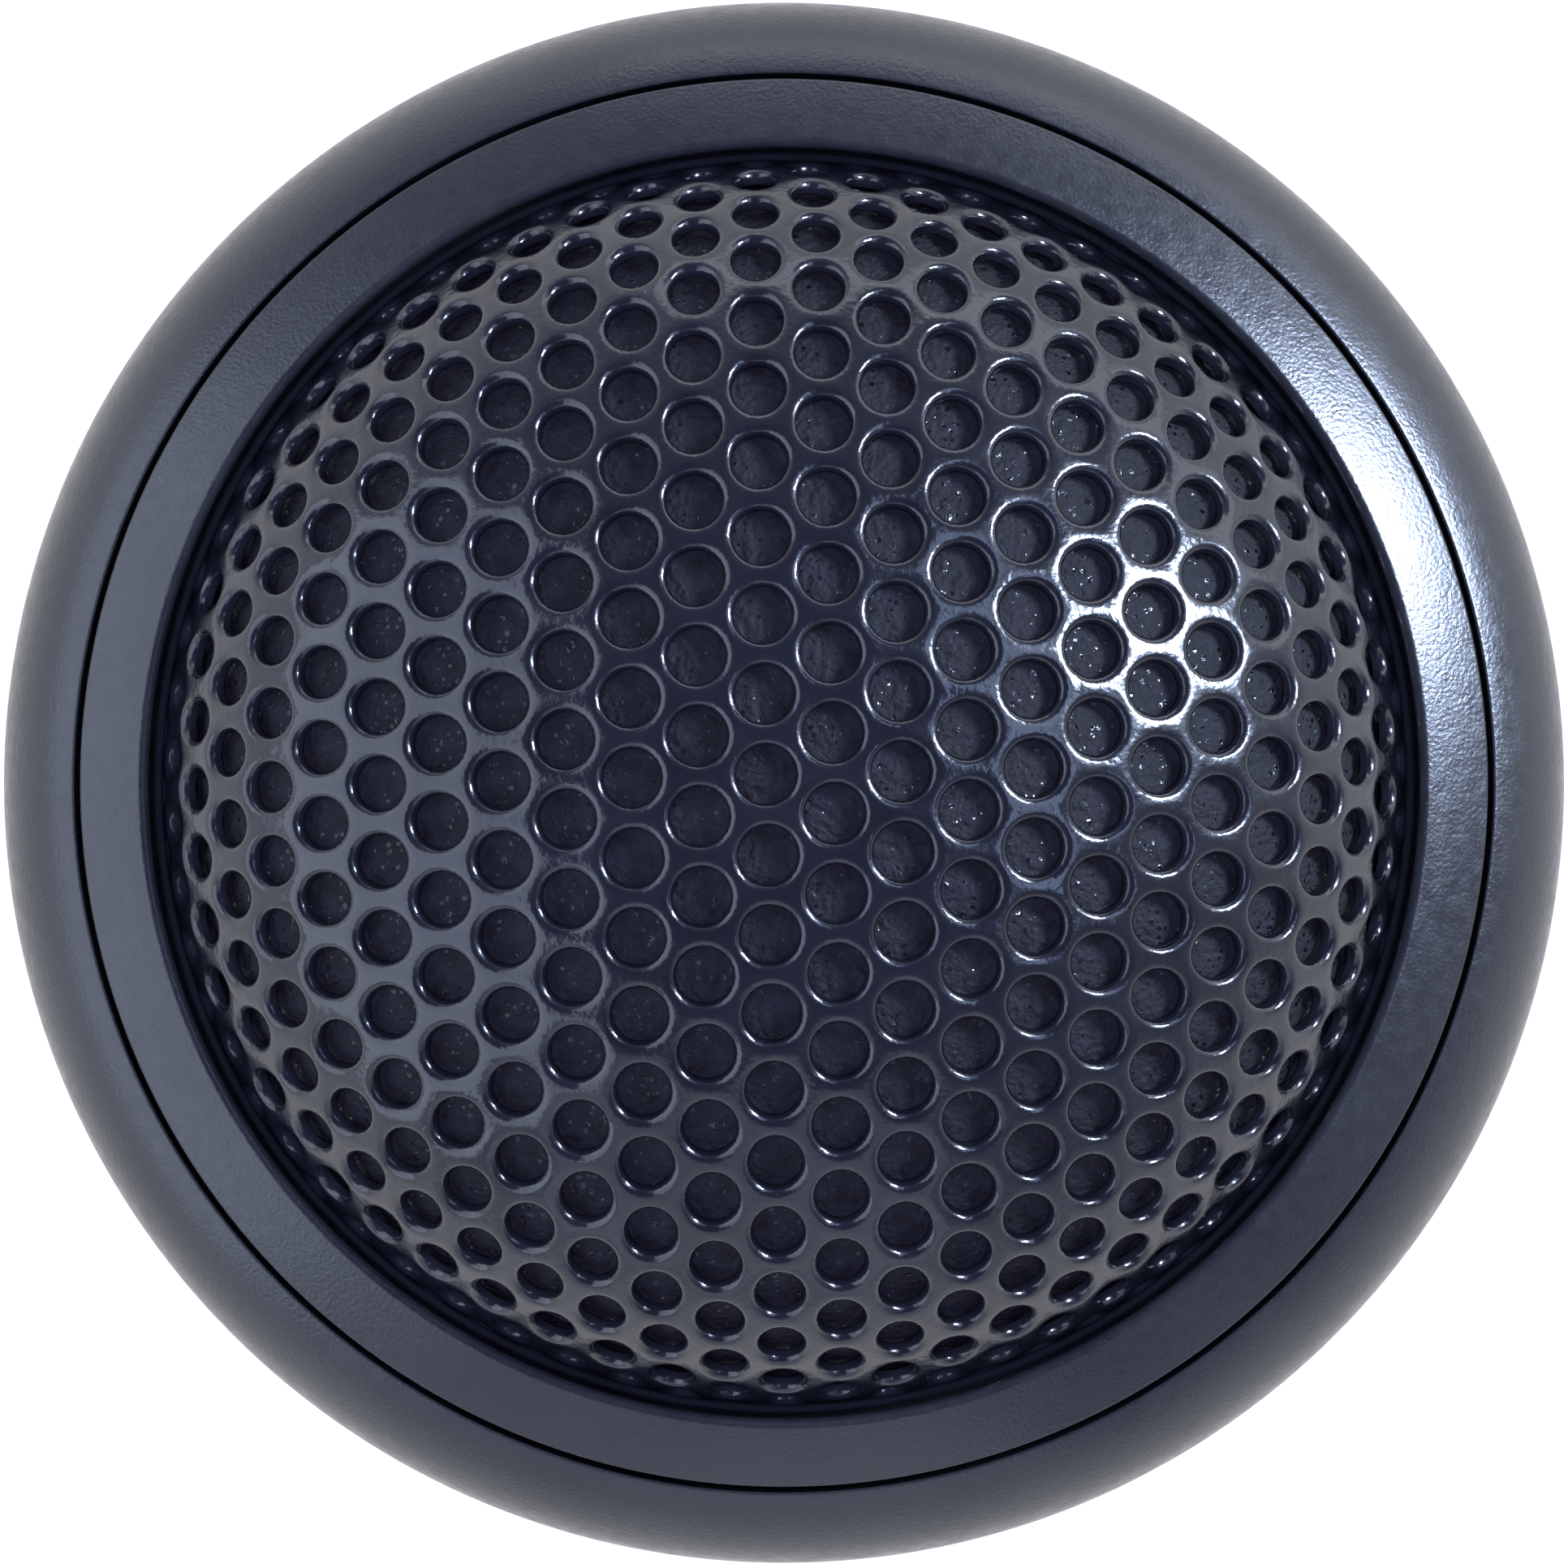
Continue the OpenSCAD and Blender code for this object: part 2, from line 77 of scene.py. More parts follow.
# Cup, in millimetres. Z is 0 where the flange rests on the panel
FLANGE_R = CUP_HIGH.x
EDGE_H = 0.6             # straight edge of the flange under its shoulder
SHOULDER_R = 5.0
SHOULDER_C = FLANGE_R - SHOULDER_R
SEAM_R = 22.47
SEAM_A = math.acos((SEAM_R - SHOULDER_C) / SHOULDER_R)
SEAM_Z = EDGE_H + SHOULDER_R * math.sin(SEAM_A)
LEDGE_Z = 1.4            # seat of the trim ring
BORE_R = 20.3
SPIGOT_R = 22.5
SPIGOT_L = 2.0
KEY_HALF = 1.5           # half the width of a keyway
KEY_EDGE = 0.06          # run of a keyway's side wall
KEY_X = 21.2             # distance of a keyway's floor from the axis
KEY_TOP = 0.02           # the keyways end this far below the flange
SNAP_GROOVE_R = BORE_R + 0.45
SNAP_Z = box_mm("snap_ring")[0].z - 0.05
SNAP_T = 0.8
GASKET_RI = 23.0
GASKET_RO = 24.3
GASKET_T = 0.5

# Thread of barrel and nut
THREAD_R = 21.8
THREAD_DEPTH = 0.55
THREAD_CLEARANCE = 0.1
PITCH = 2.0
NUT_GRIPS = 24
GRIP_DEPTH = 0.8
NUT_COLLAR = 0.8         # height of the round collar over the grips

# Trim ring
TRIM_RI = 20.05
TRIM_SLOPE = math.radians(28)
TRIM_LIP = 0.25          # rounding of the inner edge
SEAM_GAP = 0.17
SEAM_RUN = 0.18          # run of the slope from the flange's edge to the trim's
SKIRT_R = 21.65          # the skirt outside it locates the grille's flange

# Grille: two arcs that meet at BLEND_A from the axis
DOME_R = 19.8
CROWN_R = 27.0
KNUCKLE_R = 11.75
SHEET_T = 0.5
RIM_Z = GRILLE_LOW.z + 1.0
KNUCKLE_C = DOME_R - KNUCKLE_R
BLEND_A = math.asin(KNUCKLE_C / (CROWN_R - KNUCKLE_R))
CROWN_C = RIM_Z - (CROWN_R - KNUCKLE_R) * math.cos(BLEND_A)
BLEND_S = CROWN_R * BLEND_A
RIM_S = BLEND_S + KNUCKLE_R * (math.pi / 2 - BLEND_A)
CELL = 2.45              # distance between holes before the sheet is stretched
COLUMN_STRETCH = 2.09 / (CELL * math.sqrt(3) / 2)
ROW_STRETCH = 2.49 / CELL
HOLE_R = 0.925
HOLE_ROUND = 0.25        # drawn-in edge on the outside
HOLE_BREAK = 0.08        # broken edge on the inside
HOLE_SIDES = 24
HOLE_SQUEEZE = 0.30      # how much narrower the holes are round the rim, where the sheet is gathered
HOLE_MARGIN = 1.25       # the last holes' centres stay that far from the end of the curved sheet
LATTICE_SHIFT = (-0.54, 0.265)
LATTICE_TURN = math.radians(1.35)
FLANGE_TOP = GRILLE_LOW.z + SHEET_T

# Foam
FOAM_GAP = 0.1
FOAM_T = 1.6


# ---------------------------------------------------------------- mesh helpers

def finish_mesh(bm, name, material, body="root", replaces=(), sharp=38.0):
    """Turns a bmesh in millimetres into a piece that rides on a body."""
    bmesh.ops.scale(bm, vec=(MM, MM, MM), verts=bm.verts)
    limit = math.radians(sharp)
    for face in bm.faces:
        face.smooth = True
    for edge in bm.edges:
        edge.smooth = edge.calc_face_angle(0.0) < limit
    mesh = bpy.data.meshes.new(name)
    bm.to_mesh(mesh)
    bm.free()
    piece = bpy.data.objects.new(name, mesh)
    bpy.context.scene.collection.objects.link(piece)
    mesh.materials.append(material)
    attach(piece, body)
    if replaces:
        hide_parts(*replaces)
    return piece


def outline(bm, corners, segments=5, closed=True):
    """Wire in the XZ plane. A corner is (radius, height, rounding)."""
    verts = [bm.verts.new((r, 0.0, z)) for r, z, _ in corners]
    ends = verts[1:] + verts[:1] if closed else verts[1:]
    for a, b in zip(verts, ends):
        bm.edges.new((a, b))
    for vert, (_, _, rounding) in zip(verts, corners):
        if rounding:
            bmesh.ops.bevel(bm, geom=[vert], offset=rounding, segments=segments, profile=0.5,
                            affect="VERTICES", material=-1)


def spin(bm, steps=STEPS):
    """Turns the wires of a bmesh into a closed body of revolution."""
    bmesh.ops.spin(bm, geom=bm.verts[:] + bm.edges[:], cent=(0, 0, 0), axis=(0, 0, 1), dvec=(0, 0, 0),
                   angle=2 * math.pi, steps=steps, use_merge=True)
    bmesh.ops.remove_doubles(bm, verts=bm.verts, dist=MERGE)
    bmesh.ops.recalc_face_normals(bm, faces=bm.faces)


def lathe(corners, steps=STEPS):
    """A closed outline as a body of revolution."""
    bm = bmesh.new()
    outline(bm, corners)
    spin(bm, steps)
    return bm


def arc(centre_r, centre_z, radius, start, end, count):
    """Points of an arc as unrounded corners."""
    angles = [start + (end - start) * i / count for i in range(count + 1)]
    return [(centre_r + radius * math.cos(a), centre_z + radius * math.sin(a), 0.0) for a in angles]


def eased_copy(node, material, ease, body="root"):
    """A CAD node's own shape with its edges eased by that many millimetres."""
    bm = bmesh.new()
    bm.from_mesh(frame["nodes"][node].data)
    bmesh.ops.scale(bm, vec=(1 / MM, 1 / MM, 1 / MM), verts=bm.verts)
    bmesh.ops.remove_doubles(bm, verts=bm.verts, dist=MERGE)
    bmesh.ops.dissolve_limit(bm, angle_limit=math.radians(1.0), verts=bm.verts, edges=bm.edges)
    edges = [e for e in bm.edges if e.calc_face_angle(0.0) > math.radians(SHARP_EDGE)]
    if ease and edges:
        bmesh.ops.bevel(bm, geom=edges, offset=ease, offset_type="OFFSET", segments=2, profile=0.5,
                        affect="EDGES", clamp_overlap=True, material=-1)
    bmesh.ops.recalc_face_normals(bm, faces=bm.faces)
    finish_mesh(bm, node + "_finished", material, body, (node,))


# ---------------------------------------------------------------- material helpers

def srgb(code):
    """Linear colour from an sRGB hex value."""
    parts = [int(code[i:i + 2], 16) / 255 for i in (0, 2, 4)]
    return tuple(p / 12.92 if p <= 0.04045 else ((p + 0.055) / 1.055) ** 2.4 for p in parts) + (1.0,)


def add(tree, kind, links=None, **settings):
    """Adds a node with its settings. A link is a value or another node's output."""
    made = tree.nodes.new(kind)
    for key, value in settings.items():
        setattr(made, key, value)
    for key, value in (links or {}).items():
        if isinstance(value, bpy.types.NodeSocket):
            tree.links.new(value, made.inputs[key])
        else:
            made.inputs[key].default_value = value
    return made


def scale_for(size):
    """Texture scale that gives features of that size in millimetres."""
    return 1.0 / (size * MM)


def surface(name, colour, roughness, metallic=0.0, **sockets):
    """A material with its shader and Object coordinates."""
    material = bpy.data.materials.new(name)
    material.use_nodes = True
    tree = material.node_tree
    shader = tree.nodes["Principled BSDF"]
    shader.inputs["Base Color"].default_value = srgb(colour)
    shader.inputs["Roughness"].default_value = roughness
    shader.inputs["Metallic"].default_value = metallic
    for key, value in sockets.items():
        shader.inputs[key.replace("_", " ")].default_value = value
    coords = add(tree, "ShaderNodeTexCoord").outputs["Object"]
    material.diffuse_color = srgb(colour)
    return material, tree, shader, coords


def mottle(tree, shader, coords, size, low, high, detail=2.0):
    """Varies the base colour between two values over patches of that size."""
    patch = add(tree, "ShaderNodeTexNoise", {"Vector": coords, "Scale": scale_for(size), "Detail": detail})
    ramp = add(tree, "ShaderNodeValToRGB", {"Fac": patch.outputs["Fac"]})
    ramp.color_ramp.elements[0].position = 0.35
    ramp.color_ramp.elements[0].color = srgb(low)
    ramp.color_ramp.elements[1].position = 0.65
    ramp.color_ramp.elements[1].color = srgb(high)
    tree.links.new(ramp.outputs["Color"], shader.inputs["Base Color"])


def vary_roughness(tree, shader, coords, size, low, high):
    """Varies the roughness between two values over patches of that size."""
    patch = add(tree, "ShaderNodeTexNoise", {"Vector": coords, "Scale": scale_for(size), "Detail": 3.0})
    level = add(tree, "ShaderNodeMapRange", {"Value": patch.outputs["Fac"], "From Min": 0.3, "From Max": 0.7,
                                             "To Min": low, "To Max": high})
    tree.links.new(level.outputs["Result"], shader.inputs["Roughness"])


def grain(tree, shader, coords, size, depth, detail=2.0, under=None):
    """Bump of that feature size and depth in millimetres, over another bump if one is given."""
    bumps = add(tree, "ShaderNodeTexNoise", {"Vector": coords, "Scale": scale_for(size), "Detail": detail})
    links = {"Height": bumps.outputs["Fac"], "Distance": depth * MM, "Strength": 1.0}
    if under:
        links["Normal"] = under
    bump = add(tree, "ShaderNodeBump", links)
    tree.links.new(bump.outputs["Normal"], shader.inputs["Normal"])
    return bump.outputs["Normal"]


# ---------------------------------------------------------------- materials

def satin_paint():
    """Black polyester powder coat, fine sand texture: a soft sheen that breaks up into grains."""
    material, tree, shader, coords = surface("powder_coat_satin_black", "0d0e17", 0.31, IOR=1.5)
    mottle(tree, shader, coords, 6.0, "0b0c15", "0f1119")
    vary_roughness(tree, shader, coords, 0.5, 0.26, 0.36)
    peel = grain(tree, shader, coords, 0.6, 0.006)
    grain(tree, shader, coords, 0.13, 0.016, 1.5, under=peel)
    return material


def grille_paint():
    """Black dip paint on steel sheet: semi-gloss, levelled by its own surface tension, faint orange peel."""
    material, tree, shader, coords = surface("dip_paint_semi_gloss_black", "090a13", 0.18, IOR=1.5)
    mottle(tree, shader, coords, 5.0, "080912", "0b0c16")
    vary_roughness(tree, shader, coords, 1.2, 0.14, 0.22)
    peel = grain(tree, shader, coords, 0.9, 0.010)
    grain(tree, shader, coords, 0.22, 0.013, under=peel)
    return material


def open_cell_foam():
    """Black reticulated polyether foam: blue-black struts, a sharp glint on one cell in a few."""
    material, tree, shader, coords = surface("polyether_foam_black", "080811", 0.55, IOR=1.45,
                                             Specular_IOR_Level=0.3)
    mottle(tree, shader, coords, 0.7, "06060c", "0b0b15", 4.0)
    cells = add(tree, "ShaderNodeTexVoronoi", {"Vector": coords, "Scale": scale_for(0.24)})
    # A cell is glossy near its middle, and only where its own random value is low
    chance = add(tree, "ShaderNodeMath", {0: cells.outputs["Color"], 1: 0.6, 2: cells.outputs["Distance"]},
                 operation="MULTIPLY_ADD")
    gloss = add(tree, "ShaderNodeMapRange", {"Value": chance.outputs[0], "From Min": 0.45, "From Max": 0.53,
                                             "To Min": 0.1, "To Max": 0.8})
    tree.links.new(gloss.outputs["Result"], shader.inputs["Roughness"])
    struts = grain(tree, shader, coords, 0.35, 0.06, 1.0)
    grain(tree, shader, coords, 0.2, 0.09, 1.0, under=struts)
    return material


def moulded_plastic(name, colour, roughness, spark):
    """Injection-moulded black plastic with a spark-eroded grain of that size."""
    material, tree, shader, coords = surface(name, colour, roughness, IOR=1.49)
    vary_roughness(tree, shader, coords, 3.0, roughness - 0.06, roughness + 0.06)
    grain(tree, shader, coords, spark, 0.008)
    return material


def plated_steel(name, colour, roughness):
    """Turned and zinc-plated steel: fine tool marks under a thin bright plate."""
    material, tree, shader, coords = surface(name, colour, roughness, 1.0)
    mottle(tree, shader, coords, 4.0, colour, "c9ccd2")
    vary_roughness(tree, shader, coords, 0.8, roughness - 0.07, roughness + 0.09)
    grain(tree, shader, coords, 0.2, 0.003)
    return material


def nickel_plate():
    """Nickel-plated sintered neodymium: bright, slightly warm, faintly rippled."""
    material, tree, shader, coords = surface("nickel_plate", "bdb9b0", 0.18, 1.0)
    vary_roughness(tree, shader, coords, 1.5, 0.14, 0.24)
    grain(tree, shader, coords, 1.2, 0.004)
    return material


def tinned_brass():
    """Stamped brass with a thin tin flash: pale yellow, dull in patches."""
    material, tree, shader, coords = surface("tinned_brass", "cdbb86", 0.28, 1.0)
    mottle(tree, shader, coords, 2.5, "c2ab6c", "d8d0b4")
    vary_roughness(tree, shader, coords, 0.7, 0.22, 0.38)
    return material


def tinned_copper():
    """Tinned copper wire: soft grey metal, drawn smooth."""
    material, tree, shader, coords = surface("tinned_copper", "b9bbbd", 0.3, 1.0)
    vary_roughness(tree, shader, coords, 0.5, 0.24, 0.4)
    return material


def enamelled_copper():
    """Enamelled copper winding: red-brown metal under clear varnish."""
    material, tree, shader, coords = surface("enamelled_copper", "b4602f", 0.3, 1.0, Coat_Weight=0.6)
    mottle(tree, shader, coords, 0.8, "a8552a", "c46e3a")
    return material


def phenolic_board():
    """Paper-based phenolic laminate: matt brown, fibrous, slightly mottled."""
    material, tree, shader, coords = surface("phenolic_paper_laminate", "5d3a20", 0.55)
    mottle(tree, shader, coords, 0.6, "54331b", "6b4526", 4.0)
    grain(tree, shader, coords, 0.12, 0.004)
    return material


def shrink_sleeve():
    """Blue PVC shrink sleeve: glossy, drawn tight over the can."""
    material, tree, shader, coords = surface("pvc_shrink_sleeve_blue", "1c2f63", 0.22, IOR=1.53)
    grain(tree, shader, coords, 1.5, 0.006)
    return material


def cloth(name, colour, thread):
    """Coated plain-weave cloth: sheen along the threads, rubbery between them.

    The weave is drawn 2 * pi times coarser than the thread spacing, so that it shows.
    """
    material, tree, shader, coords = surface(name, colour, 0.5, Sheen_Weight=0.3)
    mottle(tree, shader, coords, 3.0, colour, "17181c")
    heights = []
    for direction in ("X", "Y"):
        wave = add(tree, "ShaderNodeTexWave", {"Vector": coords, "Scale": scale_for(thread) / 20},
                   bands_direction=direction)
        heights.append(wave.outputs["Fac"])
    weave = add(tree, "ShaderNodeMath", {0: heights[0], 1: heights[1]}, operation="MAXIMUM")
    bump = add(tree, "ShaderNodeBump", {"Height": weave.outputs[0], "Distance": 0.04 * MM, "Strength": 1.0})
    tree.links.new(bump.outputs["Normal"], shader.inputs["Normal"])
    return material


def felt():
    """Pressed grey wool felt: matt, fuzzy."""
    material, tree, shader, coords = surface("wool_felt", "5a5a5c", 0.95, Sheen_Weight=0.6)
    mottle(tree, shader, coords, 0.3, "4c4c4e", "6a6a6c", 4.0)
    grain(tree, shader, coords, 0.15, 0.05)
    return material


def film():
    """Amber polyimide film of the coil former: thin, glossy, translucent brown."""
    material, tree, shader, coords = surface("polyimide_film", "a86a1c", 0.2, IOR=1.6,
                                             Transmission_Weight=0.25)
    vary_roughness(tree, shader, coords, 2.0, 0.15, 0.28)
    return material


PAINT = satin_paint()
GRILLE_PAINT = grille_paint()
FOAM = open_cell_foam()
NUT_PLASTIC = moulded_plastic("nylon_black", "1c1c1f", 0.5, 0.25)
CHASSIS_PLASTIC = moulded_plastic("abs_black", "18181b", 0.42, 0.35)
GASKET_FOAM = moulded_plastic("epdm_sponge", "131314", 0.85, 0.3)
ZINC = plated_steel("zinc_plated_steel", "b4b8be", 0.32)
SPRING_STEEL = plated_steel("oiled_spring_steel", "7c7f86", 0.36)
SCREW_STEEL = plated_steel("bright_zinc_screw", "bcc0c6", 0.26)
NICKEL = nickel_plate()
BRASS = tinned_brass()
TINNED = tinned_copper()
COPPER = enamelled_copper()
PHENOLIC = phenolic_board()
SLEEVE = shrink_sleeve()
SILK = cloth("coated_silk", "141519", 0.22)
SURROUND_CLOTH = cloth("coated_cotton", "101114", 0.3)
FIBRE = moulded_plastic("pressed_fibre_board", "2a2723", 0.75, 0.2)
FELT = felt()
FILM = film()
RED = moulded_plastic("pvc_red", "8e1512", 0.35, 0.4)
BLACK = moulded_plastic("pvc_black", "141414", 0.35, 0.4)


# ---------------------------------------------------------------- cup, nut and washer

def thread_profile(t):
    """Height of a rounded thread over one pitch, 0 at the root and 1 at the crest."""
    rise = 0.5 - 0.5 * math.cos(2 * math.pi * t)
    return rise * rise * (3 - 2 * rise)


def thread_fade(z, low, high, run=1.2):
    """1 along the thread, fading to 0 at both ends."""
    return max(0.0, min(1.0, (z - low) / run, (high - z) / run))


def flush_cup():
    """Flange with rounded shoulder, spigot, threaded barrel with two keyways."""
    bm = bmesh.new()
    lead_in = 0.5
    thread_low = CUP_LOW.z + lead_in
    thread_high = -SPIGOT_L - 0.2
    rows = 140
    barrel = [(THREAD_R, thread_low + (thread_high - thread_low) * i / rows, 0.0) for i in range(rows + 1)]
    shoulder = arc(SHOULDER_C, EDGE_H, SHOULDER_R, 0.0, SEAM_A, 28)
    corners = [(BORE_R, CUP_LOW.z, 0.25), (THREAD_R - lead_in, CUP_LOW.z, 0.1)] + barrel + [
        (SPIGOT_R, -SPIGOT_L, 0.05), (SPIGOT_R, -KEY_TOP, 0.0), (SPIGOT_R, 0.0, 0.0), (GASKET_RI, 0.0, 0.05),
        (GASKET_RI, GASKET_T, 0.1), (GASKET_RO, GASKET_T, 0.1), (GASKET_RO, 0.0, 0.05),
        (FLANGE_R, 0.0, 0.25)] + shoulder[:-1] + [
        shoulder[-1][:2] + (0.12,), (SEAM_R, LEDGE_Z, 0.1), (BORE_R, LEDGE_Z, 0.15),
        (BORE_R, SNAP_Z + SNAP_T, 0.0), (SNAP_GROOVE_R, SNAP_Z + SNAP_T, 0.0),
        (SNAP_GROOVE_R, SNAP_Z, 0.0), (BORE_R, SNAP_Z, 0.0)]
    outline(bm, corners)
    spin(bm)
    for offset in (-KEY_HALF, -KEY_HALF + KEY_EDGE, KEY_HALF - KEY_EDGE, KEY_HALF):
        bmesh.ops.bisect_plane(bm, geom=bm.verts[:] + bm.edges[:] + bm.faces[:], dist=0.0001,
                               plane_co=(0, offset, 0), plane_no=(0, 1, 0))
    for vert in bm.verts:
        x, y, z = vert.co
        r = math.hypot(x, y)
        if z > -KEY_TOP / 2 or r < SNAP_GROOVE_R + 0.1:
            continue
        if abs(y) < KEY_HALF - KEY_EDGE / 2 and r < SPIGOT_R + 0.02:
            vert.co.x = math.copysign(min(abs(x), KEY_X), x)
        elif thread_low <= z <= thread_high:
            turn = (z / PITCH + math.atan2(y, x) / (2 * math.pi)) % 1.0
            depth = THREAD_DEPTH * (1 - thread_profile(turn)) * thread_fade(z, thread_low, thread_high)
            scale = (r - depth) / r
            vert.co.x *= scale
            vert.co.y *= scale
    finish_mesh(bm, "cup_painted", PAINT, replaces=("flush_cup",))


def lock_nut():
    """Moulded ring with finger grips outside and thread inside."""
    nut_r = NUT_HIGH.x
    nut_ri = THREAD_R + THREAD_CLEARANCE
    lead_in = 0.3
    chamfer = 0.6
    rows = 40
    low = NUT_LOW.z + lead_in
    high = NUT_HIGH.z - lead_in
    inner = [(nut_ri, high + (low - high) * i / rows, 0.0) for i in range(rows + 1)]
    corners = [(nut_ri + lead_in, NUT_LOW.z, 0.08), (nut_r - chamfer, NUT_LOW.z, 0.15),
               (nut_r, NUT_LOW.z + chamfer, 0.25), (nut_r, NUT_HIGH.z - NUT_COLLAR - 0.2, 0.1),
               (nut_r, NUT_HIGH.z, 0.15), (nut_ri + lead_in, NUT_HIGH.z, 0.08)] + inner
    bm = bmesh.new()
    outline(bm, corners)
    spin(bm, NUT_GRIPS * 14)
    for vert in bm.verts:
        x, y, z = vert.co
        r = math.hypot(x, y)
        angle = math.atan2(y, x)
        if r > nut_ri + 1.2 and z < NUT_HIGH.z - NUT_COLLAR:
            wave = (angle * NUT_GRIPS / (2 * math.pi)) % 1.0 - 0.5
            scallop = max(0.0, 1 - (abs(wave) / 0.27) ** 2) * GRIP_DEPTH
            scale = (r - scallop) / r
        elif r < nut_ri + 0.05:
            turn = (z / PITCH + angle / (2 * math.pi)) % 1.0
            scale = (r + THREAD_DEPTH * (1 - thread_profile(turn)) * thread_fade(z, low, high, 0.6)) / r
        else:
            scale = 1.0
        vert.co.x *= scale
        vert.co.y *= scale
    finish_mesh(bm, "nut_moulded", NUT_PLASTIC, "lock_nut", ("lock_nut",))


# ---------------------------------------------------------------- trim ring, grille and foam

def trim_ring():
    """Turned ring: sloping face, inner edge rounded down into the groove."""
    ro = SEAM_R - SEAM_GAP
    face_z = SEAM_Z + SEAM_RUN * math.tan(TRIM_SLOPE)
    lip_r = TRIM_RI + TRIM_LIP * (1 - math.sin(TRIM_SLOPE))
    lip_z = face_z + (ro - lip_r) * math.tan(TRIM_SLOPE)
    round_z = lip_z - TRIM_LIP * math.cos(TRIM_SLOPE)
    corners = [(TRIM_RI, FLANGE_TOP, 0.0), (SKIRT_R, FLANGE_TOP, 0.0),
               (SKIRT_R, TRIM_LOW.z, 0.0), (ro, TRIM_LOW.z, 0.1), (ro, face_z, 0.08)]
    corners += arc(TRIM_RI + TRIM_LIP, round_z, TRIM_LIP, math.pi / 2 - TRIM_SLOPE, math.pi, 12)
    finish_mesh(lathe(corners), "trim_painted", PAINT, replaces=("trim_ring",))


def dome_place(s, turn, depth):
    """Point of the dome at arc length s from the crown, depth below the outer surface."""
    if s < BLEND_S:
        a = s / CROWN_R
        r, z = CROWN_R * math.sin(a), CROWN_C + CROWN_R * math.cos(a)
    elif s < RIM_S:
        a = BLEND_A + (s - BLEND_S) / KNUCKLE_R
        r, z = KNUCKLE_C + KNUCKLE_R * math.sin(a), RIM_Z + KNUCKLE_R * math.cos(a)
    else:
        a = math.pi / 2
        r, z = DOME_R, RIM_Z - (s - RIM_S)
    r -= depth * math.sin(a)
    z -= depth * math.cos(a)
    return Vector((r * math.cos(turn), r * math.sin(turn), z))


def hex_reach(x, y):
    """How far a unit direction reaches to the side of its hexagonal cell, whose corners lie along X."""
    angle = math.atan2(y, x) % (math.pi / 3) - math.pi / 6
    return CELL / 2 / math.cos(angle)


def cell_mesh(rings):
    """One cell of the sheet as quads through rings of (radius, depth).

    A ring without a radius follows the cell's edge.
    """
    bm = bmesh.new()
    loops = []
    for radius, depth in rings:
        made = bmesh.ops.create_circle(bm, segments=HOLE_SIDES, radius=1.0)
        verts = made["verts"]
        for vert in verts:
            x, y = vert.co.xy
            reach = hex_reach(x, y) if radius is None else radius
            vert.co = Vector((x * reach, y * reach, -depth))
        loops.append(list({e for v in verts for e in v.link_edges}))
    for a, b in zip(loops, loops[1:]):
        bmesh.ops.bridge_loops(bm, edges=a + b)
    mesh = bpy.data.meshes.new("cell")
    bm.to_mesh(mesh)
    bm.free()
    return mesh


def plain_cell_mesh():
    """One cell of the sheet without a hole."""
    bm = bmesh.new()
    for depth in (0.0, SHEET_T):
        verts = bmesh.ops.create_circle(bm, cap_ends=True, cap_tris=True, segments=HOLE_SIDES,
                                        radius=1.0)["verts"]
        for vert in verts:
            x, y = vert.co.xy
            reach = hex_reach(x, y) if x * x + y * y > 0.5 else 1.0
            vert.co = Vector((x * reach, y * reach, -depth))
    mesh = bpy.data.meshes.new("plain_cell")
    bm.to_mesh(mesh)
    bm.free()
    return mesh


def pull_out(bm, edges, r, z):
    """Extrudes a rim loop and sets its new ring to that radius and height."""
    made = bmesh.ops.extrude_edge_only(bm, edges=edges)["geom"]
    for vert in (v for v in made if isinstance(v, bmesh.types.BMVert)):
        flat = Vector((vert.co.x, vert.co.y, 0.0)).normalized() * r
        vert.co = Vector((flat.x, flat.y, z))
    return [e for e in made if isinstance(e, bmesh.types.BMEdge)]


